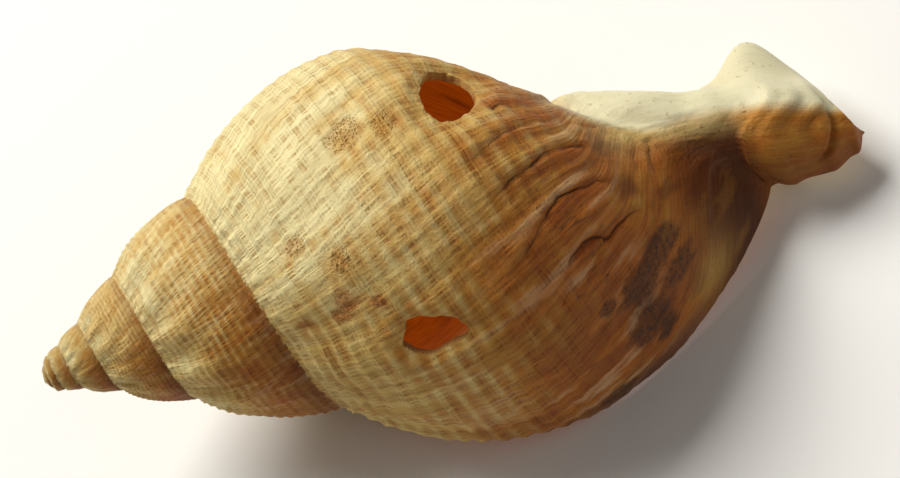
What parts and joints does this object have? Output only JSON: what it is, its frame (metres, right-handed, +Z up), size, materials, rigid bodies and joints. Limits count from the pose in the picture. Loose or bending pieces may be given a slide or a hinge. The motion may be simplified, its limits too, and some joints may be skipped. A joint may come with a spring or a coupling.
{
  "type": "whelk shell",
  "caption": "Empty coiled sea snail shell, worn, with ribbed whorls, a wide mouth, a short bent canal and two small holes, lying mouth down.",
  "frame": {"origin": "centre of the footprint, on the surface that the shell lies on", "axes": "+X from the apex towards the siphonal canal, +Z up, outer lip on the -Y side, mouth facing down"},
  "size_m": [0.0832, 0.0412, 0.0347],
  "materials": {
    "shell": "worn satin lime, cream to orange-brown"
  },
  "bodies": {
    "root": {"whelk_shell": "shell"}
  },
  "joints": []
}
